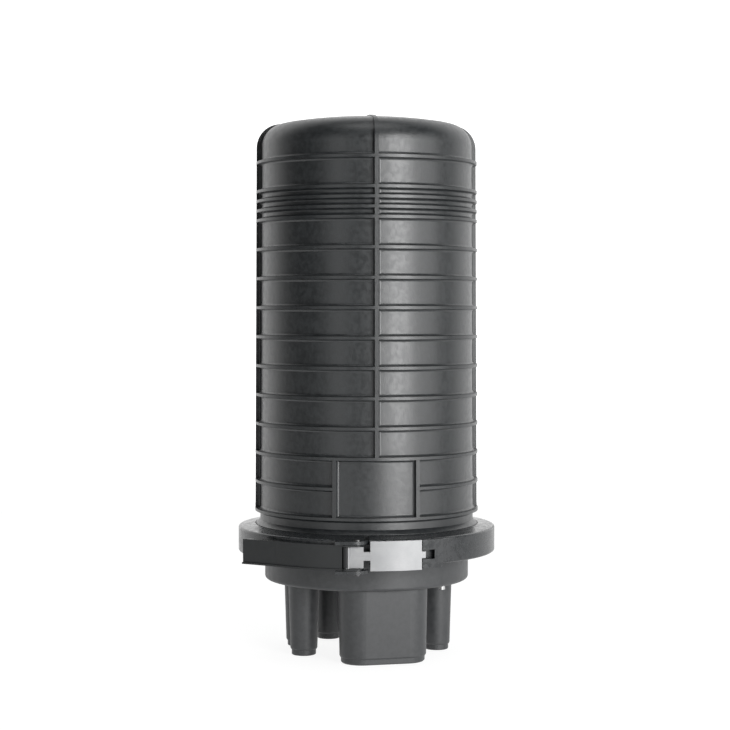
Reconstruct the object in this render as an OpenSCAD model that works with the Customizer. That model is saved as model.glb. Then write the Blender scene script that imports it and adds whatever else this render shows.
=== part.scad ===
// Dome splice closure: a ribbed dome on a ported base, held by a two-piece hoop
// with an over-centre latch, with a splice tray organiser inside.
// Millimetres. The closure's axis is Z and the port ends are at z = 0.
// The latch is at the front, on the -Y side, and angles run from there to +X.

/* [Dome] */
// Height of the dome's crown above the port ends
overall_h = 424.8; // [350:0.1:520]
// Outer radius of the plain dome wall at the parting plane
dome_r = 85.1; // [70:0.1:105]
// Wall thickness of the dome
dome_wall = 3; // [2:0.1:4]
// Draft of the dome's sides, in degrees
dome_draft = 0.28; // [0.1:0.01:1]
// Radius of the shoulder arc between the ribs
shoulder_r = 17.5; // [12:0.5:28]
// Radius of the shallow crown
crown_r = 400; // [250:5:600]
// Turn of the dome on the base
dome_turn = 5; // [-30:1:30]

/* [Dome ribs] */
// Height of every rib above the wall
rib_h = 4.1; // [2:0.1:6]
// Thickness of a hoop rib at its tip
rib_tip = 2.2; // [1.5:0.1:4]
// Extra thickness of a hoop rib at its root
rib_root_extra = 0.8; // [0:0.1:2]
// Height of the lowest hoop rib above the parting plane
first_rib_h = 23.3; // [18:0.1:40]
// Distance between hoop ribs
rib_pitch = 22.84; // [15:0.01:40]
// Width of an upright rib
upright_w = 3; // [2:0.1:6]
// How far an upright rib's face lies below the hoop ribs' tips
upright_drop = 0.15; // [0.1:0.05:1]
// Radius of the shoulder arc along the upright ribs
rib_shoulder_r = 19; // [12:0.5:30]
// Height of the upright ribs above the crown
crown_rib_h = 1; // [0.5:0.1:3]
// Radius of the moulding's gate boss on the crown
gate_r = 7; // [6:0.5:15]
// Half angle of the bare panel low on the front
panel_half = 21; // [10:1:35]

/* [Parting and flanges] */
// Height of the parting plane above the base plate's underside
skirt_h = 32.4; // [27:0.1:45]
// How far the flanges stand out of the dome wall
flange_w = 11.9; // [10:0.1:18]
// Thickness of one flange at its rim
flange_rim = 5.4; // [4:0.1:8]
// Slope of the clamped flange faces, in degrees
flange_slope = 14.3; // [5:0.1:25]
// Radial step from the dome wall out to the clamp's lip
neck_step = 3.3; // [2:0.1:5]
// Diameter of the seal ring's section
seal_d = 5.5; // [4:0.1:7]
// Squeeze of the seal ring between the faces
seal_squeeze = 1.3; // [0.5:0.1:2]
// Height of the base's spigot inside the dome
spigot_h = 6; // [3:0.5:12]

/* [Base] */
// How far the base skirt is set in from the dome wall
skirt_inset = 3.8; // [2:0.1:10]
// Wall thickness of the base skirt
base_wall = 3.4; // [2.5:0.1:5]
// Thickness of the base plate
plate_t = 4; // [3:0.1:8]
// Radius of the skirt's lower edge
skirt_edge_r = 2.5; // [1:0.1:3.5]
// Turn of the base and its ports
base_turn = 13; // [-30:1:30]

/* [Ports] */
// Length of the ports below the base plate
port_len = 57.6; // [40:0.1:90]
// Radius of a round port at the base plate
port_top_r = 12.3; // [8:0.1:15]
// Radius of a round port above its cut-off cap
port_end_r = 10.7; // [7:0.1:14]
// Wall thickness of the ports
port_wall = 2.4; // [1.5:0.1:3]
// Height of the cut-off cap at a port's end
cap_h = 4.5; // [3:0.1:10]
// How far the cap is set in from the port
cap_inset = 1.1; // [0.5:0.1:2]
// Edge rounding of the cap's end face
cap_edge_r = 1; // [0.5:0.1:2]
// Gap between a round port and the skirt's face
port_gap = 13; // [6:0.1:16]
// Half depth of the oval port at the base plate
oval_top_r = 18; // [14:0.1:22]
// Half depth of the oval port above its cap
oval_end_r = 17; // [13:0.1:21]
// Distance between the oval port's two round ends
oval_centres = 34; // [20:1:50]

/* [Clamp hoop] */
// Radial clearance between the flanges and the hoop
hoop_gap = 0.6; // [0.4:0.1:2]
// Clearance over the sloped flange faces
lip_gap = 0.3; // [0.3:0.05:0.6]
// Thickness of the hoop's outer web
hoop_web = 4.7; // [3.5:0.1:8]
// Height of the hoop
hoop_h = 20; // [18:0.1:26]
// Rise of the hoop's top face towards the dome
hoop_crown = 1.8; // [0:0.1:3]
// Edge rounding of the hoop
hoop_edge_r = 1.5; // [0.5:0.1:2.5]
// Gap between the two hoop halves at the latch
latch_gap = 4.2; // [3:0.1:8]

/* [Hoop hinge] */
// Radius of the hinge pin
hinge_pin_r = 2; // [1.5:0.1:3]
// Radius of the hinge knuckles
knuckle_r = 4.2; // [3.5:0.1:6]
// Distance of the hinge axis from the hoop's face
hinge_out = 2.6; // [2:0.1:5]
// Length of the arm that ties a knuckle to the hoop
hinge_arm = 13; // [8:0.5:25]

/* [Latch] */
// Running clearance of the latch and hinge pins
run_gap = 0.05; // [0.02:0.01:0.1]
// Side clearance between latch parts
side_gap = 0.3; // [0.3:0.05:0.6]
// Radius of the latch pins
latch_pin_r = 1.5; // [1:0.1:2]
// Distance of the lever pivot from the hoop's face
pivot_out = 3.1; // [3:0.1:6]
// Sideways place of the lever pivot
pivot_x = -7; // [-12:0.5:-5]
// Distance between the lever pivot and the link pivot
throw = 8; // [6:0.5:10]
// How far the link's line of pull passes behind the pivot
over_centre = 1.2; // [0.5:0.1:2]
// Height of the lever
lever_h = 19; // [16:0.1:24]
// Middle height of the lever above the parting plane
lever_mid = -2.8; // [-5:0.1:2]
// Thickness of the lever's outer web
lever_web = 1.8; // [1.5:0.1:3]
// Thickness of the lever's side flanges
lever_side = 1.3; // [1:0.1:2]
// Depth of the lever's channel section
lever_deep = 5.5; // [5:0.1:8]
// Length of the lever's straight tip
tip_len = 30; // [20:1:50]
// Outward turn of the straight tip, which leaves a finger gap
tip_turn = 9; // [0:1:15]
// Angle of the lever along the hoop, up to its straight tip
lever_arc = 39; // [25:1:50]
// Thickness of the ears on the hoop
ear_t = 2.5; // [2:0.1:4]
// Width of the ears along the hoop
ear_w = 25.2; // [20:0.1:32]
// Thickness of the steel link
link_t = 2; // [1.5:0.1:2.5]
// Distance between the link plate and the hoop
link_out = 1.6; // [1.2:0.1:2.5]
// Height of the link plate
link_h = 22.3; // [16:0.1:26]
// Middle height of the link plate above the parting plane
link_mid = -1.8; // [-5:0.1:2]
// Length of the link plate along the hoop
link_plate_len = 39; // [25:0.5:60]
// Height of the link's neck
neck_h = 6.4; // [4:0.1:10]
// Height of the link's hook
hook_h = 4.8; // [3:0.1:8]
// Depth to which the hook drops behind the catch
hook_bite = 2.2; // [1.5:0.1:3]
// Slack between the hook and the catch
hook_slack = 0.7; // [0.7:0.1:1.2]
// Height of the catch block above the hoop's face
catch_out = 3.2; // [2.5:0.1:4]
// Length of the catch block along the hoop
catch_len = 17.5; // [12:0.5:30]

/* [Earthing screw] */
// Radius of the earthing screw
earth_r = 2.4; // [2:0.1:4]
// Length of its shank below the base plate
earth_out = 4.2; // [2:0.1:12]
// Angle of the screw from the front of the hoop
earth_angle = 56; // [45:1:65]

/* [Organiser] */
// Thickness of the frame's sheet
sheet_t = 2; // [1.5:0.1:3]
// Width of the frame's upright
frame_w = 96; // [70:1:104]
// Clearance between the frame's top and the crown
frame_top_gap = 62; // [40:1:120]
// Number of splice trays
tray_count = 4; // [4:1:4]
// Width of a tray
tray_w = 104; // [80:1:108]
// Length of a tray
tray_len = 228; // [150:1:240]
// Thickness of a tray
tray_t = 9; // [6:0.1:10]
// Gap between trays
tray_gap = 1.5; // [1:0.1:2]
// Wall thickness of the mouldings inside
mould_t = 1.6; // [1.2:0.1:2]
// Depth of the storage basket
basket_d = 40; // [25:1:42]
// Height of the storage basket
basket_h = 190; // [120:1:230]

/* [Hidden] */
$fn = 96;

dome_black = [0.11, 0.115, 0.12];
base_grey = [0.3, 0.31, 0.32];
hoop_black = [0.14, 0.145, 0.15];
steel = [0.8, 0.8, 0.79];
tray_grey = [0.82, 0.83, 0.84];
rubber = [0.05, 0.05, 0.055];

// A small overlap that joins the pieces of one solid
bite = 0.6;
// Enough to cut past a face
past = 1;

// Heights
plate_z = port_len;
part_z = plate_z + skirt_h;
rim_top = part_z + flange_rim;
first_rib_z = part_z + first_rib_h;

// Radii, from the dome wall outwards
skirt_r = dome_r - skirt_inset;
root_r = dome_r + neck_step;
flange_r = dome_r + flange_w;
lip_r = root_r + hoop_gap;
hoop_in_r = flange_r + hoop_gap;
hoop_r = hoop_in_r + hoop_web;
slope_k = tan(flange_slope);
root_rise = (flange_r - root_r) * slope_k;

// The dome's outline
function wall_r(z) = dome_r - (z - part_z) * tan(dome_draft);
function shoulder_z(r, rs, rc, top) = top - rc + sqrt((rc - rs) * (rc - rs) - (r - rs) * (r - rs));
guess_z = overall_h - rib_shoulder_r;
tip_shoulder_z = shoulder_z(wall_r(guess_z) + rib_h, rib_shoulder_r, crown_r, overall_h);
rib_count = floor((tip_shoulder_z - first_rib_z) / rib_pitch) + 1;
upright_h = rib_h - upright_drop;
function rib_z(i) = first_rib_z + i * rib_pitch;
// Two thin-spaced ribs fill the bay below the second rib from the top
band_bay = rib_count - 3;
band_split = 3;
// The bare panel runs over two bays, up to the third rib
panel_top = 2;
crown_z = overall_h - crown_rib_h;
// The upright ribs start inside the gate boss
rib_start = gate_r - 2.5;

// The seal and its groove
groove_w = seal_d + 0.1;
groove_d = seal_d - seal_squeeze;
seal_r = (root_r + flange_r) / 2 - 0.5;
spigot_gap = 0.3;
spigot_r = wall_r(part_z + spigot_h) - dome_wall - spigot_gap;

// Ports: turns of the round ones from the oval one
port_turns = [75, 117, 159, 201, 243, 285];
port_circle = skirt_r - port_gap - port_top_r;
oval_circle = port_circle;

// Hoop
hoop_low = part_z - hoop_h / 2;
hoop_top = part_z + hoop_h / 2;
hinge_y = hoop_r + hinge_out;
rear_gap = 1;
knuckle_cuts = 3;
knuckle_h = hoop_h / knuckle_cuts;
pin_head_r = hinge_pin_r + 1.1;
pin_head_h = 1.2;

// Latch plan: the lever turns at pivot, the link turns at link_at on the lever
function at(r, a) = [r * sin(a), -r * cos(a)];
function arc_deg(len, r) = len / r * 180 / PI;
lever_z = part_z + lever_mid;
link_z = part_z + link_mid;
pivot = [pivot_x, -hoop_r - pivot_out];
link_in_r = hoop_r + link_out;
link_out_r = link_in_r + link_t;
plate_start = arc_deg(2.75, link_in_r);
plate_end = plate_start + arc_deg(link_plate_len, link_in_r);
lip_top_r = link_in_r - 0.4;
// The hook's and the lip's working faces are flat, square to the link's pull
hook_x = link_in_r * sin(plate_end) + 1.5;
hook_t = 2.2;
lip_x = hook_x - hook_slack;
lip_y = -sqrt(lip_top_r * lip_top_r - lip_x * lip_x);
hook_tip_y = lip_y + hook_bite;
slot_floor_r = lip_top_r - hook_bite - 0.5;
lip_end = asin(lip_x / lip_top_r);
lip_start = lip_end - arc_deg(2.7, link_in_r);
catch_start = plate_end + arc_deg(0.9, link_in_r);
catch_end = catch_start + arc_deg(catch_len, link_in_r);
slot_end_x = link_in_r * sin(catch_start + arc_deg(catch_len * 0.62, link_in_r));
// The pull line runs from the hook to the link pivot, over_centre behind the pivot
hook_at = [lip_x, lip_y];
link_x = pivot_x - throw;
pull_y = pivot[1] + over_centre;
link_y = hook_at[1] + (pull_y - hook_at[1]) * (hook_at[0] - link_x) / (hook_at[0] - pivot_x);
link_at = [link_x, link_y];
lug_r = 3.4;
eye_r = 2.8;
seat_y = pivot[1] + lug_r + side_gap;
lever_in_r = hoop_r + 1;
lever_out_r = lever_in_r + lever_deep;
lever_low = lever_z - lever_h / 2;
lever_top = lever_z + lever_h / 2;
// The lever's web stops where the link's eye begins
lever_start = -asin((eye_r + side_gap + 0.2 - link_x) / lever_out_r);
tip_lip = 1.2;
ear_end = 1.7;
ear_bow = 11.2;
// Depth of the bracket that carries the lower ear
bracket_d = 3.2;
ear_y = pivot[1] - lug_r - 0.5;
rivet_head_r = 2.6;
rivet_head_h = 1.3;
strap_h = lever_h - 2 * lever_side - 2 * side_gap;
strap_end = -2.3;

// Organiser
floor_z = plate_z + plate_t;
boss_h = 6;
boss_r = 4.5;
boss_at = 14;
foot_z = floor_z + boss_h;
foot_top = foot_z + sheet_t;
foot_r = port_circle - port_top_r - 4.7;
tab_half = 22;
screw_r = 1.6;
screw_head_r = 3;
screw_head_h = 2;
screw_len = 7;
waist_z = foot_top + 14;
frame_top = overall_h - frame_top_gap;
flange_back = 10;
clamp_size = [9, 9, 9];
clamp_circle = foot_r - 6;
rack_w = 52;
rack_low = waist_z;
rack_h = 14;
pin_z = rack_low + 7.5;
pin_r = 1.5;
tray_pitch = tray_t + tray_gap;
tray_first = sheet_t / 2 + tray_gap;
tray_low = rack_low + rack_h + 3;
tray_corner = 16;
holder_size = [34, 46];
holder_slots = 6;
stack_d = tray_first + tray_count * tray_pitch;
cover_t = 1.2;
basket_low = tray_low + 12;
strap_t = 1.5;
strap_w = 18;
strap_z = tray_low + tray_len * 0.62;
clamp_turns = [75, 117, 159, 201, 243, 285];

// Building blocks

// Region under a straight side, a shoulder arc and a shallow crown arc
module bell(r_low, z_low, r_high, rs, rc, top) {
    xs = r_high - rs;
    zs = shoulder_z(r_high, rs, rc, top);
    reach = (rc + 9) / (rc - rs);
    polygon([[0, z_low], [r_low, z_low], [r_high, zs], [0, zs]]);
    intersection() {
        translate([xs, zs]) circle(rs);
        translate([0, zs - bite]) square([r_high + past, rs + 2 * bite]);
    }
    intersection() {
        translate([0, top - rc]) circle(rc, $fn = 360);
        polygon([
            [0, zs - bite], [xs, zs - bite], [xs, zs],
            [xs * reach, top - rc + (zs - top + rc) * reach], [0, top + past]
        ]);
    }
}

// Slab between two radii, two angles from the front and two heights
module arc_slab(r0, r1, a0, a1, z0, z1) {
    rotate_extrude(start = a0 - 90, angle = a1 - a0)
        translate([r0, z0]) square([r1 - r0, z1 - z0]);
}

// Flat plate from an outline, between two heights
module slab(z0, z1) {
    translate([0, 0, z0]) linear_extrude(z1 - z0) children();
}

// Rectangle with true round corners, centred
module round_rect(size, r) {
    square([size[0] - 2 * r, size[1]], center = true);
    square([size[0], size[1] - 2 * r], center = true);
    for (sx = [-1, 1], sy = [-1, 1])
        translate([sx * (size[0] / 2 - r), sy * (size[1] / 2 - r)]) circle(r, $fn = 48);
}

// Turns an outline drawn in width and height upright, with its face towards the front
module upright(y0, y1) {
    translate([0, y1, 0]) rotate([90, 0, 0]) linear_extrude(y1 - y0) children();
}

// Dome

module dome_outer() {
    z_low = part_z;
    r_high = wall_r(guess_z);
    bell(dome_r, z_low, r_high, shoulder_r, crown_r, crown_z);
}

module dome_inner() {
    r_high = wall_r(guess_z) - dome_wall;
    bell(dome_r - dome_wall, part_z - past, r_high, shoulder_r - dome_wall,
        crown_r - dome_wall, crown_z - dome_wall);
}

module hoop_rib(z) {
    root_r = wall_r(z) - bite;
    tip_r = wall_r(z) + rib_h;
    root_half = (rib_tip + rib_root_extra) / 2;
    tip_half = rib_tip / 2;
    polygon([
        [root_r, z - root_half], [tip_r, z - tip_half],
        [tip_r, z + tip_half], [root_r, z + root_half]
    ]);
}

module dome_flange() {
    polygon([
        [dome_r - dome_wall, part_z], [flange_r, part_z], [flange_r, rim_top],
        [root_r, rim_top + root_rise], [root_r, hoop_top + hoop_crown + 0.2],
        [wall_r(part_z) - bite, hoop_top + hoop_crown + neck_step + 0.5]
    ]);
}

// One upright rib, over the shoulder and crown, down to the height z_end
module upright_rib(turn, z_end) {
    rotate([0, 0, turn - 90]) rotate([90, 0, 0])
        linear_extrude(upright_w, center = true)
            difference() {
                bell(wall_r(z_end) + upright_h, z_end, wall_r(guess_z) + upright_h,
                    rib_shoulder_r, crown_r, overall_h);
                bell(wall_r(z_end) - bite, z_end - past, wall_r(guess_z) - bite,
                    shoulder_r - bite, crown_r - bite, crown_z - bite);
                square([rib_start, overall_h + past]);
            }
}

// One side of the bare panel
module panel_side(turn) {
    z0 = rib_z(0);
    z1 = rib_z(panel_top);
    rotate([0, 0, turn - 90]) rotate([90, 0, 0])
        linear_extrude(upright_w, center = true)
            polygon([
                [wall_r(z0) - bite, z0], [wall_r(z0) + upright_h, z0],
                [wall_r(z1) + upright_h, z1], [wall_r(z1) - bite, z1]
            ]);
}

module dome() {
    color(dome_black) rotate([0, 0, dome_turn]) {
        rotate_extrude() difference() {
            union() {
                dome_outer();
                dome_flange();
                for (i = [0:rib_count - 1])
                    if (i != 1) hoop_rib(rib_z(i));
                for (i = [1:band_split - 1])
                    hoop_rib(rib_z(band_bay) + i * rib_pitch / band_split);
                translate([0, crown_z - dome_wall / 2])
                    square([gate_r, crown_rib_h + dome_wall / 2]);
            }
            dome_inner();
        }
        rotate_extrude(start = panel_half - 90, angle = 360 - 2 * panel_half)
            hoop_rib(rib_z(1));
        for (side = [-1, 1]) panel_side(side * panel_half);
        upright_rib(0, rib_z(panel_top));
        for (turn = [90, 180, 270]) upright_rib(turn, rib_z(0));
    }
}

// Base

module base_shell() {
    inner_r = skirt_r - base_wall;
    under_z = part_z - flange_rim;
    difference() {
        union() {
            translate([0, plate_z]) square([skirt_r - skirt_edge_r, plate_t]);
            translate([skirt_r - skirt_edge_r, plate_z + skirt_edge_r]) circle(skirt_edge_r);
            translate([inner_r, plate_z + skirt_edge_r])
                square([base_wall, skirt_h - skirt_edge_r]);
            polygon([
                [inner_r, part_z], [flange_r, part_z], [flange_r, under_z],
                [skirt_r - bite, under_z - (flange_r - skirt_r) * slope_k]
            ]);
            translate([inner_r, part_z - bite])
                square([spigot_r - inner_r, spigot_h + bite]);
        }
        translate([0, plate_z + plate_t]) square([inner_r, skirt_h + spigot_h]);
        translate([seal_r - groove_w / 2, part_z - groove_d])
            square([groove_w, groove_d + past]);
    }
}

// Outline of a round port; the inner one is its bore
module port_outline() {
    cap_r = port_end_r - cap_inset;
    translate([cap_r - cap_edge_r, cap_edge_r]) circle(cap_edge_r, $fn = 32);
    square([cap_r - cap_edge_r, cap_h]);
    translate([0, cap_edge_r]) square([cap_r, cap_h]);
    polygon([
        [0, cap_h], [port_end_r - cap_inset / 2, cap_h], [port_end_r, cap_h + cap_inset],
        [port_top_r, plate_z + bite], [0, plate_z + bite]
    ]);
}

module port_bore() {
    low_r = port_end_r - cap_inset - port_wall;
    polygon([
        [0, port_wall], [low_r, port_wall], [low_r, cap_h],
        [port_end_r - port_wall, cap_h + 2 * cap_inset],
        [port_top_r - port_wall, plate_z], [port_top_r - port_wall, floor_z + past],
        [0, floor_z + past]
    ]);
}

// A tapered oval: two half cones, with a straight tapered body between them
module tapered_oval(r0, r1, z0, z1) {
    for (side = [-1, 1])
        translate([side * oval_centres / 2, 0, z0]) cylinder(r1 = r0, r2 = r1, h = z1 - z0);
    rotate([90, 0, 90]) linear_extrude(oval_centres, center = true)
        polygon([[-r0, z0], [r0, z0], [r1, z1], [-r1, z1]]);
}

module oval_port() {
    cap_r = oval_end_r - cap_inset;
    tapered_oval(cap_r - cap_edge_r, cap_r, 0, cap_edge_r);
    tapered_oval(cap_r, cap_r, cap_edge_r, cap_h);
    tapered_oval(oval_end_r - cap_inset / 2, oval_end_r, cap_h, cap_h + cap_inset);
    tapered_oval(oval_end_r, oval_top_r, cap_h + cap_inset, plate_z + bite);
}

module oval_bore() {
    low_r = oval_end_r - cap_inset - port_wall;
    tapered_oval(low_r, oval_top_r - port_wall, port_wall, floor_z + past);
}

module base() {
    color(base_grey) rotate([0, 0, base_turn]) difference() {
        union() {
            rotate_extrude() base_shell();
            for (turn = port_turns)
                translate(at(port_circle, turn)) rotate_extrude() port_outline();
            translate(at(oval_circle, 0)) oval_port();
            rotate([0, 0, -base_turn]) for (sx = [-1, 1], sy = [-1, 1])
                translate([sx * boss_at, sy * boss_at, floor_z - bite])
                    cylinder(r = boss_r, h = boss_h + bite);
        }
        for (turn = port_turns)
            translate(at(port_circle, turn)) rotate_extrude() port_bore();
        translate(at(oval_circle, 0)) oval_bore();
        rotate([0, 0, -base_turn]) {
            for (sx = [-1, 1], sy = [-1, 1])
                translate([sx * boss_at, sy * boss_at, floor_z])
                    cylinder(r = screw_r, h = boss_h + past);
            translate(at(earth_circle, earth_angle))
                translate([0, 0, plate_z - past])
                    cylinder(r = earth_r + run_gap, h = plate_t + 2 * past);
        }
    }
}

module seal_ring() {
    color(rubber) rotate_extrude() intersection() {
        translate([seal_r, part_z - groove_d / 2]) circle(seal_d / 2);
        translate([seal_r - seal_d, part_z - groove_d]) square([2 * seal_d, groove_d]);
    }
}

// Clamp hoop

// Section of the hoop: a channel whose sloped lips grip both flanges
module hoop_section() {
    r = hoop_edge_r;
    lip_z = rim_top + root_rise + lip_gap - (lip_r - root_r) * slope_k;
    web_z = rim_top + lip_gap - hoop_gap * slope_k;
    difference() {
        union() {
            polygon([
                [lip_r, hoop_low], [hoop_r - r, hoop_low], [hoop_r - r, hoop_top],
                [lip_r, hoop_top + hoop_crown]
            ]);
            translate([hoop_r - 2 * r, hoop_low + r]) square([2 * r, hoop_h - 2 * r]);
            for (z = [hoop_low + r, hoop_top - r])
                translate([hoop_r - r, z]) circle(r);
        }
        polygon([
            [lip_r - past, 2 * part_z - lip_z - past * slope_k],
            [hoop_in_r, 2 * part_z - web_z], [hoop_in_r, web_z],
            [lip_r - past, lip_z + past * slope_k]
        ]);
    }
}

// One half of the hoop, from the latch gap round to the rear gap
module hoop_half(side) {
    front = arc_deg(latch_gap / 2, hoop_r);
    rear = 180 - arc_deg(rear_gap, hoop_r);
    if (side > 0)
        rotate_extrude(start = front - 90, angle = rear - front) hoop_section();
    else
        rotate_extrude(start = -rear - 90, angle = rear - front) hoop_section();
}

// Knuckle with its arm, on one side of the hinge axis
module hinge_knuckle(side, z0, z1) {
    arm_y = sqrt(hoop_r * hoop_r - hinge_arm * hinge_arm);
    slab(z0, z1) {
        translate([0, hinge_y]) circle(knuckle_r);
        polygon([
            [0, hinge_y + knuckle_r], [side * hinge_arm, arm_y - bite],
            [side * hinge_arm, arm_y - 2 * bite], [0, hinge_y - knuckle_r]
        ]);
    }
}

module hinge_bore() {
    translate([0, hinge_y, hoop_low - past])
        cylinder(r = hinge_pin_r + run_gap, h = hoop_h + hoop_crown + 2 * past);
}

// Room for the other half's knuckle
module knuckle_room(z0, z1) {
    translate([0, hinge_y, z0]) cylinder(r = knuckle_r + side_gap, h = z1 - z0);
}

// Outline of one ear, square at the left and bowed at the right
module ear_outline() {
    bow_x = ear_end - ear_bow;
    ear_in = ear_y + ear_bow;
    translate([ear_end - ear_w, ear_y]) square([ear_w - ear_bow, ear_bow]);
    intersection() {
        translate([bow_x, ear_in]) circle(ear_bow);
        translate([bow_x - bite, ear_y - past]) square([ear_bow + past, ear_bow + past]);
    }
}

module hoop_left() {
    left_x = ear_end - ear_w;
    right_x = -latch_gap / 2;
    low_ear = lever_low - side_gap - ear_t;
    color(hoop_black) difference() {
        union() {
            difference() {
                hoop_half(-1);
                translate([left_x - past, -hoop_r - past, hoop_low - past])
                    cube([ear_w + 2 * past, seat_y + hoop_r + past, hoop_h + 2 * past]);
                knuckle_room(part_z - knuckle_h / 2 - side_gap, part_z + knuckle_h / 2 + side_gap);
            }
            slab(lever_top + side_gap, lever_top + side_gap + ear_t) ear_outline();
            slab(low_ear, low_ear + ear_t) ear_outline();
            slab(low_ear, hoop_low + hoop_web) intersection() {
                circle(hoop_r - bite);
                translate([left_x, seat_y]) square([right_x - left_x, bracket_d]);
            }
            hinge_knuckle(-1, hoop_low, part_z - knuckle_h / 2 - side_gap);
            hinge_knuckle(-1, part_z + knuckle_h / 2 + side_gap, hoop_top);
        }
        hinge_bore();
        translate([pivot[0], pivot[1], low_ear - past])
            cylinder(r = latch_pin_r, h = lever_h + 2 * ear_t + 2 * side_gap + 2 * past, $fn = 48);
    }
}

module hoop_right() {
    catch_low = link_z - link_h / 2 + 1;
    catch_top = link_z + link_h / 2;
    slot_half = hook_h / 2 + 1.1;
    color(hoop_black) difference() {
        union() {
            difference() {
                hoop_half(1);
                knuckle_room(hoop_low - past, part_z - knuckle_h / 2);
                knuckle_room(part_z + knuckle_h / 2, hoop_top + hoop_crown + past);
            }
            arc_slab(hoop_in_r + bite, lip_top_r, lip_start, catch_start + bite, catch_low, catch_top);
            arc_slab(hoop_in_r + bite, hoop_r + catch_out, catch_start, catch_end, catch_low, catch_top);
            hinge_knuckle(1, part_z - knuckle_h / 2, part_z + knuckle_h / 2);
        }
        difference() {
            translate([lip_x, -hoop_r - catch_out, link_z - slot_half])
                cube([slot_end_x - lip_x, hoop_r, 2 * slot_half]);
            cylinder(r = slot_floor_r, h = hoop_top + past);
        }
        hinge_bore();
    }
}

module hoop_hinge_pin() {
    color(steel) translate([0, hinge_y, hoop_low]) {
        cylinder(r = hinge_pin_r, h = hoop_h);
        translate([0, 0, -pin_head_h]) cylinder(r = pin_head_r, h = pin_head_h);
        translate([0, 0, hoop_h]) cylinder(r = pin_head_r, h = pin_head_h);
    }
}

// Latch

// Plan of the lever's arc and straight tip, between two radii
module lever_plan(r0, r1) {
    tip_angle = lever_arc - tip_turn;
    along = [-cos(tip_angle), sin(tip_angle)];
    corner = at(r0, -lever_arc);
    outer = at(r1, -lever_arc);
    run = along * tip_len;
    wedge_r = 2 * r1;
    intersection() {
        difference() {
            circle(r1, $fn = 180);
            circle(r0, $fn = 180);
        }
        polygon([[0, 0], at(wedge_r, lever_start), at(wedge_r, -lever_arc)]);
    }
    polygon([corner - along * bite, outer - along * bite, outer + run, corner + run]);
}

// Plan of a side flange: the arc, and lugs round both pivots
module lever_flange_plan() {
    lever_plan(lever_in_r, lever_out_r);
    difference() {
        union() {
            polygon([
                at(lever_in_r, lever_start - 1), at(lever_out_r, lever_start - 1),
                [link_at[0], link_at[1] - lug_r], [pivot[0], pivot[1] - lug_r],
                [pivot[0], pivot[1] + lug_r]
            ]);
            translate(pivot) circle(lug_r, $fn = 48);
            translate(link_at) circle(lug_r, $fn = 48);
        }
        circle(lever_in_r - 0.2, $fn = 180);
    }
}

module latch_lever() {
    color(hoop_black) difference() {
        union() {
            slab(lever_low, lever_low + lever_side) lever_flange_plan();
            slab(lever_top - lever_side, lever_top) lever_flange_plan();
            slab(lever_low, lever_top) lever_plan(lever_out_r - lever_web, lever_out_r);
            slab(lever_low, lever_low + lever_side) lever_plan(lever_in_r, lever_out_r + tip_lip);
        }
        translate([pivot[0], pivot[1], lever_low - past])
            cylinder(r = latch_pin_r + run_gap, h = lever_h + 2 * past, $fn = 48);
        translate([link_at[0], link_at[1], lever_low - past])
            cylinder(r = latch_pin_r, h = lever_h + 2 * past, $fn = 48);
    }
}

// Two short rivets, so that the link can pass between them
module latch_rivets() {
    shank = lever_side + side_gap + ear_t;
    color(steel) translate(pivot) for (side = [-1, 1])
        translate([0, 0, lever_z]) mirror([0, 0, side < 0 ? 1 : 0])
            translate([0, 0, lever_h / 2 - lever_side]) {
                cylinder(r = latch_pin_r, h = shank, $fn = 48);
                translate([0, 0, shank]) cylinder(r = rivet_head_r, h = rivet_head_h, $fn = 48);
            }
}

module link_pin() {
    color(steel) translate([link_at[0], link_at[1], lever_low])
        cylinder(r = latch_pin_r, h = lever_h, $fn = 48);
}

// Plan of the hook: the link's end, turned in behind the catch's lip
module hook_plan() {
    reach = link_out_r;
    intersection() {
        difference() {
            circle(link_out_r, $fn = 180);
            circle(link_in_r, $fn = 180);
        }
        polygon([[0, 0], at(2 * reach, plate_end - bite), [hook_x + hook_t, -2 * reach], [hook_x + hook_t, 0]]);
    }
    intersection() {
        circle(link_out_r, $fn = 180);
        translate([hook_x, -reach]) square([hook_t, reach + hook_tip_y]);
    }
}

module latch_link() {
    strap_y = -sqrt(link_out_r * link_out_r - plate_start * plate_start);
    color(steel) difference() {
        union() {
            translate([link_at[0], link_at[1], lever_z - strap_h / 2])
                cylinder(r = eye_r, h = strap_h, $fn = 48);
            translate([link_at[0], strap_y, lever_z - strap_h / 2])
                cube([strap_end - link_at[0], link_t, strap_h]);
            translate([strap_end - bite, strap_y, link_z - neck_h / 2])
                cube([3.3 - strap_end + bite, link_t, neck_h]);
            arc_slab(link_in_r, link_out_r, plate_start, plate_end,
                link_z - link_h / 2, link_z + link_h / 2);
            slab(link_z - hook_h / 2, link_z + hook_h / 2) hook_plan();
        }
        translate([link_at[0], link_at[1], lever_z - strap_h / 2 - past])
            cylinder(r = latch_pin_r + run_gap, h = strap_h + 2 * past, $fn = 48);
    }
}

// Earthing screw

washer_t = 1;
earth_head_r = 4.6;
earth_head_h = 3.5;
earth_circle = skirt_r - base_wall - earth_head_r - 2.3;

module earth_screw() {
    color(steel) translate(at(earth_circle, earth_angle)) {
        translate([0, 0, plate_z - earth_out])
            cylinder(r = earth_r, h = earth_out + plate_t + washer_t + bite);
        translate([0, 0, floor_z + washer_t]) cylinder(r = earth_head_r, h = earth_head_h, $fn = 6);
    }
}

module earth_washer() {
    color(steel) translate(at(earth_circle, earth_angle)) translate([0, 0, floor_z])
        difference() {
            cylinder(r = earth_head_r, h = washer_t);
            translate([0, 0, -past]) cylinder(r = earth_r + run_gap, h = washer_t + 2 * past);
        }
}

// Organiser

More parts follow.
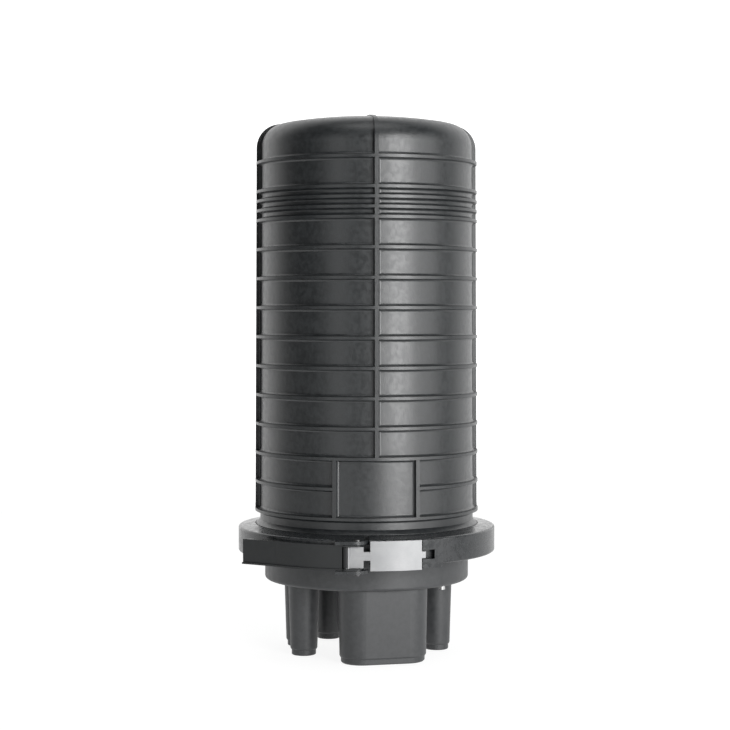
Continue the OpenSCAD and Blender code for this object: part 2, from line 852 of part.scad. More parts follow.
module frame_sheet() {
    neck_half = tab_half;
    half = frame_w / 2;
    difference() {
        union() {
            translate([-neck_half, foot_z]) square([2 * neck_half, waist_z - foot_z + bite]);
            translate([0, (waist_z + frame_top) / 2]) round_rect([frame_w, frame_top - waist_z], 6);
        }
        for (z = [0.3, 0.55, 0.8])
            translate([0, waist_z + (frame_top - waist_z) * z]) round_rect([half, 34], 8);
        for (side = [-1, 1])
            translate([side * rack_w / 4, pin_z]) square([8.4, 6.4], center = true);
    }
}

module support_frame() {
    half = frame_w / 2;
    fold_low = waist_z + 14;
    fold_top = frame_top - 14;
    color(steel) {
        difference() {
            slab(foot_z, foot_top) circle(foot_r);
            for (sx = [-1, 1], sy = [-1, 1])
                translate([sx * boss_at, sy * boss_at, foot_z - past])
                    cylinder(r = screw_r + 0.2, h = sheet_t + 2 * past);
            for (turn = clamp_turns)
                translate(at(clamp_circle, turn + base_turn)) translate([0, 0, foot_z - past])
                    cylinder(r = screw_r, h = sheet_t + 2 * past);
        }
        difference() {
            upright(-sheet_t / 2, sheet_t / 2) frame_sheet();
            for (side = [-1, 1])
                translate([side * basket_stud_x, 0, basket_stud_z]) rotate([90, 0, 0])
                    cylinder(r = basket_stud_r + 0.1, h = 3 * sheet_t, center = true);
        }
        for (side = [-1, 1])
            translate([side * (half - sheet_t / 2), flange_back / 2, (fold_low + fold_top) / 2])
                cube([sheet_t, flange_back, fold_top - fold_low], center = true);
    }
}

// A pan-head screw with its head's underside at z = 0
module pan_screw(length) {
    translate([0, 0, -length]) cylinder(r = screw_r, h = length, $fn = 32);
    difference() {
        cylinder(r1 = screw_head_r, r2 = screw_head_r - 0.6, h = screw_head_h, $fn = 32);
        for (turn = [0, 90])
            translate([0, 0, screw_head_h]) rotate([0, 0, turn])
                cube([screw_head_r * 1.2, 0.7, 1.6], center = true);
    }
}

module frame_screws() {
    color(steel) for (sx = [-1, 1], sy = [-1, 1])
        translate([sx * boss_at, sy * boss_at, foot_top]) pan_screw(screw_len);
}

module strength_clamps() {
    color(steel) for (turn = clamp_turns)
        translate(at(clamp_circle, turn + base_turn)) translate([0, 0, foot_top])
            rotate([0, 0, turn + base_turn]) difference() {
                translate([0, 0, clamp_size[2] / 2]) cube(clamp_size, center = true);
                translate([0, 0, clamp_size[2] / 2]) cube([2.4, clamp_size[1] + past, 4], center = true);
                cylinder(r = screw_r, h = 3 * clamp_size[2], center = true, $fn = 32);
            }
}

module clamp_screws() {
    color(steel) for (turn = clamp_turns)
        translate(at(clamp_circle, turn + base_turn))
            translate([0, 0, foot_top + clamp_size[2]]) pan_screw(clamp_size[2] + sheet_t);
}

function tray_y(i) = -tray_first - (i - 0.5) * tray_pitch + tray_gap / 2;

// Stepped rack with a slot and a pin for each tray
module tray_rack() {
    depth = tray_count * tray_pitch + 2;
    cheek = 5;
    color(tray_grey) difference() {
        union() {
            translate([-rack_w / 2, -sheet_t / 2 - depth, rack_low])
                cube([rack_w, depth, rack_h]);
            for (side = [-1, 1])
                translate([side * rack_w / 4 - 4, -sheet_t / 2 - bite, pin_z - 3])
                    cube([8, sheet_t + 2 + bite, 6]);
        }
        for (i = [1:tray_count])
            translate([-rack_w / 2 + cheek, tray_y(i) - 4, rack_low + 2.5])
                cube([rack_w - 2 * cheek, 8, rack_h]);
        for (i = [1:tray_count])
            translate([0, tray_y(i), pin_z]) rotate([0, 90, 0])
                cylinder(r = pin_r, h = rack_w + 2 * past, center = true, $fn = 48);
    }
}

module tray_pins() {
    color(steel) for (i = [1:tray_count])
        translate([0, tray_y(i), pin_z]) rotate([0, 90, 0])
            cylinder(r = pin_r, h = rack_w, center = true, $fn = 48);
}

// Tray: a shallow dish with two fibre drums, a holder seat and a hinge knuckle
module splice_tray(i) {
    knuckle_w = 30;
    foot_w = 16;
    foot_lap = 6;
    drum_r = 17;
    drum_z = tray_low + 44;
    drum_top = tray_low + tray_len - 36;
    y_back = tray_y(i) + tray_t / 2;
    y_front = tray_y(i) - tray_t / 2;
    mid_z = tray_low + tray_len / 2;
    inner = [tray_w - 2 * mould_t, tray_len - 2 * mould_t];
    color(tray_grey) difference() {
        union() {
            upright(y_back - mould_t, y_back) translate([0, mid_z]) round_rect([tray_w, tray_len], tray_corner);
            upright(y_front, y_back - mould_t + 0.1) translate([0, mid_z]) difference() {
                round_rect([tray_w, tray_len], tray_corner);
                round_rect(inner, tray_corner - mould_t);
            }
            for (z = [drum_z, drum_top])
                upright(y_front + 1, y_back - mould_t + 0.1) translate([0, z]) difference() {
                    circle(drum_r);
                    circle(drum_r - mould_t);
                }
            translate([-foot_w / 2, tray_y(i) + 2, pin_z])
                cube([foot_w, mould_t, tray_low - pin_z + foot_lap]);
            translate([0, tray_y(i), pin_z]) rotate([0, 90, 0])
                cylinder(r = pin_r + 1.7, h = knuckle_w, center = true, $fn = 48);
            translate([-foot_w / 2, tray_y(i), pin_z]) cube([foot_w, 2 + mould_t, 3]);
        }
        translate([0, tray_y(i), pin_z]) rotate([0, 90, 0])
            cylinder(r = pin_r + run_gap, h = knuckle_w + 2 * past, center = true, $fn = 48);
        for (side = [-1, 1])
            upright(y_front - past, y_front + tray_t / 2)
                translate([side * (tray_w / 2 - 18), tray_low + 3]) square([10, 8], center = true);
    }
}

// Comb that holds the splice sleeves
module splice_holder(i) {
    y_back = tray_y(i) + tray_t / 2 - mould_t;
    mid_z = tray_low + tray_len / 2 + 4;
    pitch = holder_size[0] / holder_slots;
    slot = pitch - 1.8;
    color("white") difference() {
        upright(y_back - 5, y_back) translate([0, mid_z]) square(holder_size, center = true);
        for (k = [0:holder_slots - 1])
            translate([(k - (holder_slots - 1) / 2) * pitch, y_back - 5, mid_z])
                cube([slot, 7.6, holder_size[1] + past], center = true);
    }
}

module tray_cover() {
    y_back = tray_y(tray_count) - tray_t / 2;
    mid_z = tray_low + tray_len / 2;
    color([0.8, 0.88, 0.92, 0.4]) upright(y_back - cover_t, y_back) difference() {
        translate([0, mid_z]) round_rect([tray_w, tray_len], tray_corner);
        translate([0, tray_low + tray_len]) circle(9);
    }
}

basket_stud_x = 32;
basket_stud_r = 2.5;
basket_stud_z = basket_low + basket_h - 24;

// Basket behind the frame, open at the top, with windowed walls
module storage_basket() {
    width = frame_w - 2 * sheet_t - 3;
    y0 = sheet_t / 2;
    y1 = y0 + basket_d;
    inner = [width - 2 * mould_t, basket_d - 2 * mould_t];
    color(tray_grey) {
        difference() {
            translate([0, (y0 + y1) / 2, basket_low]) difference() {
                linear_extrude(basket_h) round_rect([width, basket_d], 5);
                translate([0, 0, mould_t]) linear_extrude(basket_h) round_rect(inner, 5 - mould_t);
            }
            for (z = [0.2, 0.5, 0.8])
                translate([0, y1 + past, basket_low + basket_h * z]) rotate([90, 0, 0])
                    linear_extrude(basket_d / 2) round_rect([width - 30, 38], 8);
        }
        for (side = [-1, 1])
            translate([side * basket_stud_x, y0 + bite, basket_stud_z]) rotate([90, 0, 0])
                cylinder(r = basket_stud_r, h = sheet_t + bite, $fn = 48);
    }
}

// Strap round the trays, the frame and the basket
module tray_strap() {
    y0 = tray_y(tray_count) - tray_t / 2 - cover_t - 0.2;
    y1 = sheet_t / 2 + basket_d + 0.2;
    size = [tray_w + 0.6, y1 - y0];
    corner = 0.6;
    color("dimgray") slab(strap_z, strap_z + strap_w) translate([0, (y0 + y1) / 2]) difference() {
        round_rect([size[0] + 2 * strap_t, size[1] + 2 * strap_t], corner + strap_t);
        round_rect(size, corner);
    }
}

dome();
base();
seal_ring();
hoop_left();
hoop_right();
hoop_hinge_pin();
latch_lever();
latch_rivets();
link_pin();
latch_link();
earth_screw();
earth_washer();
support_frame();
frame_screws();
strength_clamps();
clamp_screws();
tray_rack();
tray_pins();
splice_tray(1);  // splice_tray_1
splice_tray(2);  // splice_tray_2
splice_tray(3);  // splice_tray_3
splice_tray(4);  // splice_tray_4
splice_holder(1);  // splice_holder_1
splice_holder(2);  // splice_holder_2
splice_holder(3);  // splice_holder_3
splice_holder(4);  // splice_holder_4
tray_cover();
tray_strap();
storage_basket();
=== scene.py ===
# %% [markdown]
# # A dome splice closure
# A splice closure keeps the joints of a fibre cable dry. It is a tall ribbed dome on a
# ported base. A two-piece hoop with an over-centre latch clamps the dome to the base.
# The solids were made in CAD, so this lesson is about what Blender adds to them: the skin
# of each moulding, the grain of the steel, the fillets along the dome's ribs, and the light.
#
# Every length is in metres, and the closure stands on its port ends, with Z up its axis.

# %% Load the solids
import math

import bmesh
import bpy
from mathutils import Matrix, Vector


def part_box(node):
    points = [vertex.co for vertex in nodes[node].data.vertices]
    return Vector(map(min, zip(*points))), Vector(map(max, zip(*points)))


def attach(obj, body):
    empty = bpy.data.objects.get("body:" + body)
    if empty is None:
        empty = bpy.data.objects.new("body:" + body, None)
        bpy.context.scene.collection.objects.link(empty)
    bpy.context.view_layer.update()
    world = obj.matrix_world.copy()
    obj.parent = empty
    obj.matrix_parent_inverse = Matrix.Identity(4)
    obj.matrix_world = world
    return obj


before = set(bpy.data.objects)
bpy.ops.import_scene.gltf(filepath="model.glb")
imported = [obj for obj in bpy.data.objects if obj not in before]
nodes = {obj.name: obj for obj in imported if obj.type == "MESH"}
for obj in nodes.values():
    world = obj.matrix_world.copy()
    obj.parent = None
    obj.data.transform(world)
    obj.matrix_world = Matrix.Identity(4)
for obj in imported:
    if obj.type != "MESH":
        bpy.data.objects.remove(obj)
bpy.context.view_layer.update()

# %% [markdown]
# ## Where things are
# A helper turns an angle round the axis into a point: 0 degrees is the front, on the -Y side,
# and angles run towards +X. The heights of two solids are printed, to show how it stands.

# %% Measure the solids
def around(radius, angle, z):
    turn = math.radians(angle)
    return Vector((radius * math.sin(turn), -radius * math.cos(turn), z))


crown_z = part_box("dome")[1].z
hoop_low, hoop_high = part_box("hoop_right")
print("crown at", round(crown_z, 4), "hoop from", round(hoop_low.z, 4), "to", round(hoop_high.z, 4))

# %% [markdown]
# ## The camera
# The closure is seen from the front, a little above its middle. A long lens at a fair distance
# keeps the dome's sides straight and its ribs nearly level. The camera looks down by under two
# degrees, which opens the hoop's top face and the ring of port ends.

# %% Set up the camera
CAMERA_AWAY = 1.44
CAMERA_HEIGHT = 0.272
CAMERA_PITCH = 1.775
CAMERA_SIDE = -0.00122
LENS = 88.8
SENSOR_WIDTH = 36

camera_data = bpy.data.cameras.new("camera")
camera_data.lens = LENS
camera_data.sensor_width = SENSOR_WIDTH
camera = bpy.data.objects.new("camera", camera_data)
camera.location = (CAMERA_SIDE, -CAMERA_AWAY, CAMERA_HEIGHT)
camera.rotation_euler = (math.radians(90 - CAMERA_PITCH), 0, 0)
bpy.context.scene.collection.objects.link(camera)
bpy.context.scene.camera = camera
print("field of view:", round(math.degrees(camera_data.angle), 1), "degrees")

# %% [markdown]
# ## Building materials with nodes
# A material is a small graph of nodes. Four helpers keep that graph readable: one adds a node
# and sets its values, one remaps a value between two limits, one mixes two colours and one
# does a sum.

# %% Helpers for node graphs
def add_node(tree, kind, **values):
    node = tree.nodes.new(kind)
    for key, value in values.items():
        if hasattr(node, key):
            setattr(node, key, value)
        else:
            node.inputs[key.replace("_", " ")].default_value = value
    return node


def remap(tree, source, low, high, from_low=0.0, from_high=1.0):
    node = tree.nodes.new("ShaderNodeMapRange")
    node.interpolation_type = "SMOOTHSTEP"
    limits = {"From Min": from_low, "From Max": from_high, "To Min": low, "To Max": high}
    for name, value in limits.items():
        node.inputs[name].default_value = value
    tree.links.new(source, node.inputs["Value"])
    return node.outputs["Result"]


def mix_colours(tree, factor, first, second):
    node = tree.nodes.new("ShaderNodeMix")
    node.data_type = "RGBA"
    tree.links.new(factor, node.inputs["Factor"])
    for name, value in (("A", first), ("B", second)):
        socket = [s for s in node.inputs if s.name == name and s.type == "RGBA"][0]
        if hasattr(value, "is_output"):
            tree.links.new(value, socket)
        else:
            socket.default_value = (*value, 1)
    return [s for s in node.outputs if s.type == "RGBA"][0]


def calculate(tree, operation, first, second):
    node = tree.nodes.new("ShaderNodeMath")
    node.operation = operation
    for socket, value in zip(node.inputs, (first, second)):
        if hasattr(value, "is_output"):
            tree.links.new(value, socket)
        else:
            socket.default_value = value
    return node.outputs["Value"]


print("node helpers ready")

# %% [markdown]
# ## Moulded skin
# The mould of a closure is spark-eroded, so its plastic has a fine pebble grain, and the skin
# cools in patches, which makes a soft cloudy sheen. Both are noise in object coordinates. They
# are put in one node group, because every moulding uses them with its own values.

# %% The moulded skin group
def new_group(name, inputs, outputs):
    group = bpy.data.node_groups.new(name, "ShaderNodeTree")
    for label, kind in inputs:
        group.interface.new_socket(label, in_out="INPUT", socket_type=kind)
    for label, kind in outputs:
        group.interface.new_socket(label, in_out="OUTPUT", socket_type=kind)
    start = group.nodes.new("NodeGroupInput")
    end = group.nodes.new("NodeGroupOutput")
    return group, start.outputs, end.inputs


def noise(group, vector, scale, detail, rough=0.5):
    node = add_node(group, "ShaderNodeTexNoise", Detail=detail, Roughness=rough)
    group.links.new(vector, node.inputs["Vector"])
    if hasattr(scale, "is_output"):
        group.links.new(scale, node.inputs["Scale"])
    else:
        node.inputs["Scale"].default_value = scale
    return node.outputs["Fac"]


VECTOR = "NodeSocketVector"
NUMBER = "NodeSocketFloat"
CLOUD_RELIEF = 1.6
skin, skin_in, skin_out = new_group(
    "moulded_skin",
    [("Vector", VECTOR), ("Grain Scale", NUMBER), ("Cloud Scale", NUMBER)],
    [("Grain", NUMBER), ("Clouds", NUMBER), ("Height", NUMBER)],
)
grain = noise(skin, skin_in["Vector"], skin_in["Grain Scale"], 2.0, 0.55)
clouds = noise(skin, skin_in["Vector"], skin_in["Cloud Scale"], 5.0, 0.62)
skin.links.new(remap(skin, grain, 0, 1, 0.3, 0.7), skin_out["Grain"])
skin.links.new(remap(skin, clouds, 0, 1, 0.33, 0.67), skin_out["Clouds"])
cloud_height = calculate(skin, "MULTIPLY", clouds, CLOUD_RELIEF)
skin.links.new(calculate(skin, "ADD", grain, cloud_height), skin_out["Height"])
print("group", skin.name, "with", len(skin.nodes), "nodes")

# %% A plastic from its values
def object_coordinates(tree):
    return add_node(tree, "ShaderNodeTexCoord").outputs["Object"]


def place_group(tree, group, vector, **values):
    node = tree.nodes.new("ShaderNodeGroup")
    node.node_tree = group
    tree.links.new(vector, node.inputs["Vector"])
    for key, value in values.items():
        node.inputs[key.replace("_", " ")].default_value = value
    return node.outputs


SKIN_DEPTH = 0.0003


def plastic(name, dark, light, gloss, grain_scale=1500, cloud_scale=260, bump=0.12, shine=0.5):
    material = bpy.data.materials.new(name)
    material.use_nodes = True
    tree = material.node_tree
    shader = tree.nodes["Principled BSDF"]
    scales = {"Grain_Scale": grain_scale, "Cloud_Scale": cloud_scale}
    skin_node = place_group(tree, skin, object_coordinates(tree), **scales)
    tree.links.new(mix_colours(tree, skin_node["Clouds"], dark, light), shader.inputs["Base Color"])
    tree.links.new(remap(tree, skin_node["Clouds"], gloss[0], gloss[1]), shader.inputs["Roughness"])
    shader.inputs["Specular IOR Level"].default_value = shine
    relief = add_node(tree, "ShaderNodeBump", Strength=bump, Distance=SKIN_DEPTH)
    tree.links.new(skin_node["Height"], relief.inputs["Height"])
    tree.links.new(relief.outputs["Normal"], shader.inputs["Normal"])
    return material


dome_plastic = plastic(
    "dome_plastic",
    dark=(0.0095, 0.0112, 0.0122),
    light=(0.0165, 0.019, 0.0205),
    gloss=(0.36, 0.43),
    shine=0.75,
)
base_plastic = plastic(
    "base_plastic",
    dark=(0.03, 0.032, 0.034),
    light=(0.044, 0.046, 0.048),
    gloss=(0.44, 0.54),
    grain_scale=1700,
    cloud_scale=230,
    bump=0.1,
    shine=0.6,
)
hoop_plastic = plastic(
    "hoop_plastic",
    dark=(0.015, 0.017, 0.0185),
    light=(0.026, 0.028, 0.03),
    gloss=(0.22, 0.34),
    grain_scale=1800,
    cloud_scale=240,
    bump=0.08,
    shine=0.55,
)
lever_plastic = plastic(
    "lever_plastic",
    dark=(0.008, 0.0095, 0.01),
    light=(0.012, 0.0135, 0.0145),
    gloss=(0.4, 0.5),
    grain_scale=2000,
    cloud_scale=200,
    bump=0.06,
)
print("plastics:", dome_plastic.name, base_plastic.name, hoop_plastic.name, lever_plastic.name)

# %% [markdown]
# ## Rolled steel
# The link is pressed from steel strip. Its rolled grain runs along the strip, which is a noise
# stretched along X. The grain changes the roughness and gives a very low relief.

# %% The rolled grain group
strip, strip_in, strip_out = new_group(
    "rolled_grain",
    [("Vector", VECTOR), ("Lines", VECTOR)],
    [("Grain", NUMBER), ("Stain", NUMBER)],
)
stretch = strip.nodes.new("ShaderNodeVectorMath")
stretch.operation = "MULTIPLY"
strip.links.new(strip_in["Vector"], stretch.inputs[0])
strip.links.new(strip_in["Lines"], stretch.inputs[1])
strip.links.new(noise(strip, stretch.outputs["Vector"], 1.0, 3.0, 0.6), strip_out["Grain"])
strip.links.new(noise(strip, strip_in["Vector"], 90.0, 4.0, 0.6), strip_out["Stain"])
print("group", strip.name)

# %% A steel from its values
STEEL_DEPTH = 0.0001
LINK_METAL = 0.6


def steel(name, dark, light, gloss, lines=(120, 1400, 2600), bump=0.05, metal=1.0):
    material = bpy.data.materials.new(name)
    material.use_nodes = True
    tree = material.node_tree
    shader = tree.nodes["Principled BSDF"]
    shader.inputs["Metallic"].default_value = metal
    strip_node = place_group(tree, strip, object_coordinates(tree), Lines=lines)
    both = calculate(tree, "MULTIPLY", strip_node["Grain"], strip_node["Stain"])
    shade = remap(tree, both, 0, 1, 0.1, 0.45)
    tree.links.new(mix_colours(tree, shade, dark, light), shader.inputs["Base Color"])
    roughness = remap(tree, strip_node["Grain"], gloss[0], gloss[1], 0.3, 0.7)
    tree.links.new(roughness, shader.inputs["Roughness"])
    relief = add_node(tree, "ShaderNodeBump", Strength=bump, Distance=STEEL_DEPTH)
    tree.links.new(strip_node["Grain"], relief.inputs["Height"])
    tree.links.new(relief.outputs["Normal"], shader.inputs["Normal"])
    return material


link_steel = steel(
    "link_steel",
    dark=(0.31, 0.315, 0.32),
    light=(0.38, 0.38, 0.385),
    gloss=(0.5, 0.62),
    metal=LINK_METAL,
)
pin_steel = steel(
    "pin_steel",
    dark=(0.5, 0.5, 0.5),
    light=(0.62, 0.62, 0.61),
    gloss=(0.25, 0.36),
    lines=(900, 900, 900),
)
rivet_steel = steel(
    "rivet_steel",
    dark=(0.06, 0.06, 0.062),
    light=(0.12, 0.12, 0.12),
    gloss=(0.25, 0.4),
    lines=(700, 700, 700),
)
sheet_steel = steel(
    "sheet_steel",
    dark=(0.5, 0.5, 0.5),
    light=(0.66, 0.66, 0.65),
    gloss=(0.3, 0.45),
    lines=(300, 300, 40),
)
print("steels:", link_steel.name, pin_steel.name, rivet_steel.name, sheet_steel.name)

# %% [markdown]
# ## Painted shade over the link's eye
# The solid's rolled eye stands further left than on the real link, where that spot is in shadow.
# The colour makes up for it: the eye is painted black as painted shade, and only the strip to its
# right is bright. This is a stand-in for moving the eye in the CAD model. One material does both.
# The object's X coordinate goes through a sharp step, which mixes the painted shade over the steel.

# %% Paint shade over the link's eye
BRIGHT_FROM = -0.0137
BLUR = 0.0002
# The eye's black is painted shade, standing in for the shadow in the opening around the eye.
EYE_PAINTED_SHADE = (0.01, 0.011, 0.012)
tree = link_steel.node_tree
shader = tree.nodes["Principled BSDF"]
across = tree.nodes.new("ShaderNodeSeparateXYZ")
tree.links.new(object_coordinates(tree), across.inputs[0])
bright = remap(tree, across.outputs["X"], 0, 1, BRIGHT_FROM - BLUR, BRIGHT_FROM + BLUR)
rolled = shader.inputs["Base Color"].links[0].from_socket
tree.links.new(mix_colours(tree, bright, EYE_PAINTED_SHADE, rolled), shader.inputs["Base Color"])
tree.links.new(calculate(tree, "MULTIPLY", bright, LINK_METAL), shader.inputs["Metallic"])
print("the strip is bright from x =", BRIGHT_FROM)

# %% [markdown]
# ## The pieces inside
# The seal, the trays and the basket are hidden by the dome, but whoever takes the model apart
# sees them. Light mouldings use the same skin group with paler colours.

# %% Rubber, trays and cover
CLEAR = 0.85
seal_rubber = plastic(
    "seal_rubber",
    dark=(0.012, 0.012, 0.012),
    light=(0.02, 0.02, 0.02),
    gloss=(0.6, 0.75),
    grain_scale=2500,
    cloud_scale=200,
    bump=0.2,
)
tray_plastic = plastic(
    "tray_plastic", dark=(0.62, 0.63, 0.64), light=(0.72, 0.73, 0.74), gloss=(0.35, 0.5)
)
holder_plastic = plastic(
    "holder_plastic", dark=(0.74, 0.74, 0.73), light=(0.82, 0.82, 0.81), gloss=(0.4, 0.55)
)
basket_plastic = plastic(
    "basket_plastic", dark=(0.5, 0.51, 0.52), light=(0.6, 0.61, 0.62), gloss=(0.35, 0.5)
)
cover_clear = plastic(
    "cover_clear",
    dark=(0.8, 0.86, 0.9),
    light=(0.86, 0.9, 0.93),
    gloss=(0.08, 0.16),
    grain_scale=900,
    cloud_scale=60,
    bump=0.02,
)
clear_shader = cover_clear.node_tree.nodes["Principled BSDF"]
clear_shader.inputs["Transmission Weight"].default_value = CLEAR
strap_fabric = plastic(
    "strap_fabric",
    dark=(0.1, 0.1, 0.1),
    light=(0.2, 0.2, 0.2),
    gloss=(0.7, 0.85),
    grain_scale=1200,
    cloud_scale=300,
    bump=0.4,
)
print("inner finishes ready")

# %% Give each solid its finish
FINISHES = {
    "dome": dome_plastic,
    "base": base_plastic,
    "seal_ring": seal_rubber,
    "hoop_left": hoop_plastic,
    "hoop_right": hoop_plastic,
    "hoop_hinge_pin": pin_steel,
    "latch_lever": lever_plastic,
    "latch_rivets": rivet_steel,
    "link_pin": pin_steel,
    "latch_link": link_steel,
    "earth_screw": pin_steel,
    "earth_washer": pin_steel,
    "support_frame": sheet_steel,
    "frame_screws": pin_steel,
    "strength_clamps": sheet_steel,
    "clamp_screws": pin_steel,
    "tray_rack": basket_plastic,
    "tray_pins": pin_steel,
    "tray_cover": cover_clear,
    "tray_strap": strap_fabric,
    "storage_basket": basket_plastic,
}
for number in range(1, 5):
    FINISHES[f"splice_tray_{number}"] = tray_plastic
    FINISHES[f"splice_holder_{number}"] = holder_plastic
for name, node in nodes.items():
    node.data.materials.clear()
    node.data.materials.append(FINISHES[name])
print("finished solids:", len(FINISHES), "of", len(nodes))

# %% [markdown]
# ## Fillets along the ribs
# Where a rib leaves the wall, the mould is rounded, and each root shows as a dark line beside
# the bright rib. A fillet could be drawn by a bump, but its shade comes from its shape, so it
# is a thin solid: a section with one hollow side, spun round the axis for a hoop rib and
# extruded up the wall for an upright one. The sizes below repeat values of the CAD model.
# They don't follow it, so whoever moves a rib there has to change them here too.

# %% Sizes of the ribs
WALL_RADIUS = 0.0851
DRAFT = math.tan(math.radians(0.28))
PARTING = 0.09
FIRST_RIB = 0.1133
PITCH = 0.02284
RIB_COUNT = 13
ROOT_HALF = 0.00135
FILLET = 0.0021
SINK = 0.0004
TUCK = 0.00005
DOME_TURN = 5
PANEL_HALF = 21
PANEL_RIB = 1
PANEL_TOP = 2
SPLIT_BAY = 10
BAY_PARTS = 3


def wall_at(z):
    return WALL_RADIUS - (z - PARTING) * DRAFT


rib_heights = [FIRST_RIB + PITCH * i for i in range(RIB_COUNT)]
thin_heights = [rib_heights[SPLIT_BAY] + PITCH * k / BAY_PARTS for k in range(1, BAY_PARTS)]
print("ribs from", round(rib_heights[0], 4), "to", round(rib_heights[-1], 4))

# %% Draw one fillet's section
ARC_STEPS = 7


def fillet_section(side, place):
    """Points of one closed section.

    place(out, off) gives the point that lies out of the wall and off the rib's middle.
    """
    points = [(-SINK, ROOT_HALF - SINK), (-SINK, ROOT_HALF + FILLET)]
    for step in range(ARC_STEPS + 1):
        turn = math.pi / 2 * step / ARC_STEPS
        out = FILLET * (1 - math.cos(turn)) - TUCK
        off = ROOT_HALF + FILLET * (1 - math.sin(turn))
        points.append((out, off))
    points.append((FILLET, ROOT_HALF - SINK))
    return [place(out, side * off) for out, off in points]


def closed_loop(mesh, points):
    corners = [mesh.verts.new(p) for p in points]
    return corners + [mesh.edges.new((a, b)) for a, b in zip(corners, corners[1:] + corners[:1])]


def piece_from(mesh, name, material, body, smooth=35):
    bmesh.ops.recalc_face_normals(mesh, faces=mesh.faces)
    data = bpy.data.meshes.new(name)
    mesh.to_mesh(data)
    mesh.free()
    data.materials.append(material)
    data.shade_smooth()
    data.set_sharp_from_angle(angle=math.radians(smooth))
    piece = bpy.data.objects.new(name, data)
    bpy.context.scene.collection.objects.link(piece)
    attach(piece, body)
    print(name, len(data.polygons), "faces")
    return piece


print("section helpers ready")

# %% Spin the fillets of the hoop ribs
RING_STEPS = 120
rings = bmesh.new()
for number, z in enumerate(rib_heights + thin_heights):
    cut = number == PANEL_RIB
    start = DOME_TURN + (PANEL_HALF if cut else 0)
    sweep = 360 - 2 * PANEL_HALF if cut else 360
    for side in (-1, 1):
        section = fillet_section(side, lambda out, off: around(wall_at(z) + out, start, z + off))
        geometry = closed_loop(rings, section)
        if cut:
            edges = [e for e in geometry if isinstance(e, bmesh.types.BMEdge)]
            bmesh.ops.contextual_create(rings, geom=edges)
        bmesh.ops.spin(
            rings,
            geom=geometry,
            axis=(0, 0, 1),
            angle=math.radians(sweep),
            steps=RING_STEPS,
            use_merge=not cut,
        )
open_edges = [e for e in rings.edges if e.is_boundary]
bmesh.ops.holes_fill(rings, edges=open_edges)
hoop_fillets = piece_from(rings, "hoop_rib_fillets", dome_plastic, "closure")

# %% Extrude the fillets of the upright ribs
strips = bmesh.new()


def upright_strips(angle, low, high):
    for side in (-1, 1):
        section = fillet_section(side, lambda out, off: Vector((off, -wall_at(low) - out, low)))
        geometry = closed_loop(strips, section)
        ring = [e for e in geometry if isinstance(e, bmesh.types.BMEdge)]
        made = bmesh.ops.extrude_edge_only(strips, edges=ring)["geom"]
        top = [v for v in made if isinstance(v, bmesh.types.BMVert)]
        bmesh.ops.translate(strips, verts=top, vec=(0, wall_at(low) - wall_at(high), high - low))
        both = [v for v in geometry if isinstance(v, bmesh.types.BMVert)] + top
        turn = Matrix.Rotation(math.radians(angle), 3, "Z")
        bmesh.ops.rotate(strips, verts=both, matrix=turn, cent=(0, 0, 0))


upright_strips(DOME_TURN, rib_heights[PANEL_TOP], rib_heights[-1])
for quarter in (90, 180, 270):
    upright_strips(DOME_TURN + quarter, rib_heights[0], rib_heights[-1])
for side in (-1, 1):
    upright_strips(DOME_TURN + side * PANEL_HALF, rib_heights[0], rib_heights[PANEL_TOP])
bmesh.ops.holes_fill(strips, edges=[e for e in strips.edges if e.is_boundary])
upright_fillets = piece_from(strips, "upright_rib_fillets", dome_plastic, "closure")

# %% [markdown]
# ## Floor and backdrop
# The closure stands on a pale floor that runs into a white backdrop. The floor's own colour is
# pale, and a little of its white is added only for what the camera, mirrors and glass see, so
# the shadow on it stays soft and the light on the closure isn't changed.

# %% Make the floor
def seen_rays(tree):
    path = tree.nodes.new("ShaderNodeLightPath")
    seen = calculate(tree, "MAXIMUM", path.outputs["Is Camera Ray"], path.outputs["Is Glossy Ray"])
    return calculate(tree, "MAXIMUM", seen, path.outputs["Is Transmission Ray"])


FLOOR_SHARE = 0.8
FLOOR_GLOW = 1.12
FLOOR_RADIUS = 1.1
FLOOR_SIDES = 64
floor_mesh = bmesh.new()
bmesh.ops.create_circle(floor_mesh, cap_ends=True, radius=FLOOR_RADIUS, segments=FLOOR_SIDES)
floor_data = bpy.data.meshes.new("floor")
floor_mesh.to_mesh(floor_data)
floor_mesh.free()
floor = bpy.data.objects.new("floor", floor_data)
bpy.context.scene.collection.objects.link(floor)
floor_white = bpy.data.materials.new("floor_white")
floor_white.use_nodes = True
tree = floor_white.node_tree
tree.nodes.clear()
paint = add_node(tree, "ShaderNodeBsdfDiffuse", Color=(0.9, 0.9, 0.9, 1))
glow = add_node(tree, "ShaderNodeEmission", Color=(1, 1, 1, 1), Strength=FLOOR_GLOW)
blend = tree.nodes.new("ShaderNodeMixShader")
result = tree.nodes.new("ShaderNodeOutputMaterial")
tree.links.new(calculate(tree, "MULTIPLY", seen_rays(tree), FLOOR_SHARE), blend.inputs["Fac"])
tree.links.new(paint.outputs["BSDF"], blend.inputs[1])
tree.links.new(glow.outputs["Emission"], blend.inputs[2])
tree.links.new(blend.outputs["Shader"], result.inputs["Surface"])
floor_data.materials.append(floor_white)
print("floor is", floor.dimensions.x, "m across")

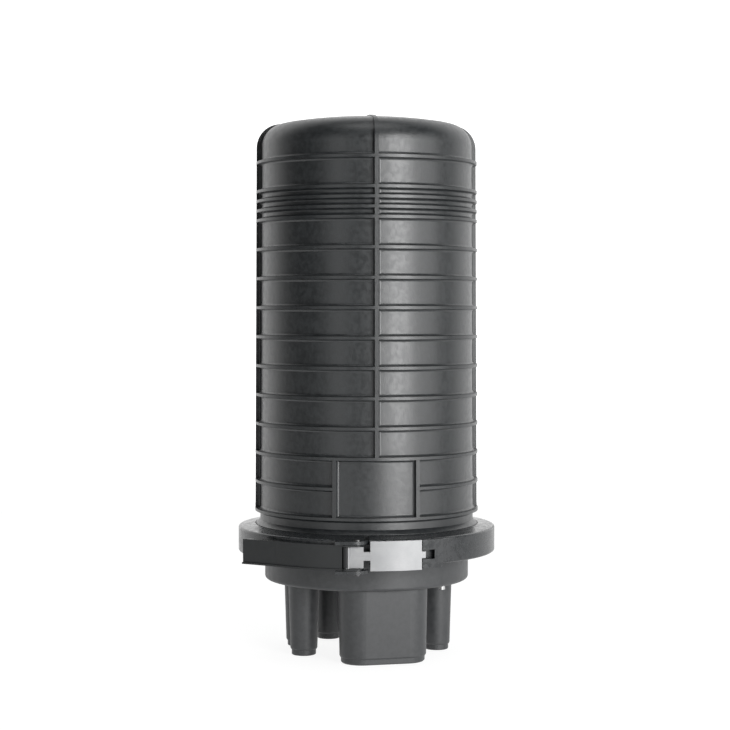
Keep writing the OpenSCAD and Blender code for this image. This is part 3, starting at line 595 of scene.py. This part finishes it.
# %% Make the backdrop
FRONT_SHADE = 0.07
BACK_LIGHT = 1.45
BACK_FROM = 0.0
BACK_FULL = 0.6
world = bpy.data.worlds.new("studio")
world.use_nodes = True
bpy.context.scene.world = world
tree = world.node_tree
tree.nodes.clear()
facing = tree.nodes.new("ShaderNodeSeparateXYZ")
tree.links.new(add_node(tree, "ShaderNodeTexCoord").outputs["Generated"], facing.inputs[0])
room = remap(tree, facing.outputs["Y"], FRONT_SHADE, BACK_LIGHT, BACK_FROM, BACK_FULL)
path = tree.nodes.new("ShaderNodeLightPath")
level = calculate(tree, "MAXIMUM", room, path.outputs["Is Camera Ray"])
sky = add_node(tree, "ShaderNodeBackground", Color=(1, 1, 1, 1))
result = tree.nodes.new("ShaderNodeOutputWorld")
tree.links.new(level, sky.inputs["Strength"])
tree.links.new(sky.outputs["Background"], result.inputs["Surface"])
print("backdrop white, room in front at", FRONT_SHADE)

# %% [markdown]
# ## Soft lamps
# A black moulding is drawn by what it mirrors. One tall soft lamp stands to the right of the
# camera and gives the long highlight beside the upright rib, and a weaker one further round
# carries it on to the right. One on the left shows the other half, and a broad one overhead
# keeps the crown from going dark.

# %% Place the lamps
AIM = Vector((0, 0, 0.24))


def soft_lamp(name, angle, away, height, size, power):
    data = bpy.data.lights.new(name, "AREA")
    data.shape = "RECTANGLE"
    data.size, data.size_y = size
    data.energy = power
    lamp = bpy.data.objects.new(name, data)
    lamp.location = around(away, angle, height)
    lamp.rotation_euler = (AIM - lamp.location).to_track_quat("-Z", "Y").to_euler()
    bpy.context.scene.collection.objects.link(lamp)
    return lamp


key = soft_lamp("key_lamp", angle=33, away=1.9, height=0.42, size=(0.9, 1.3), power=40)
side_lamp = soft_lamp("side_lamp", angle=68, away=2.0, height=0.5, size=(0.8, 1.2), power=9)
fill = soft_lamp("fill_lamp", angle=-30, away=2.2, height=0.5, size=(0.8, 1.3), power=5)
over = soft_lamp("over_lamp", angle=10, away=0.7, height=2.1, size=(1.4, 1.0), power=8)
print("lamps:", key.name, side_lamp.name, fill.name, over.name)

# %% Colours come out as written
bpy.context.scene.view_settings.view_transform = "Standard"
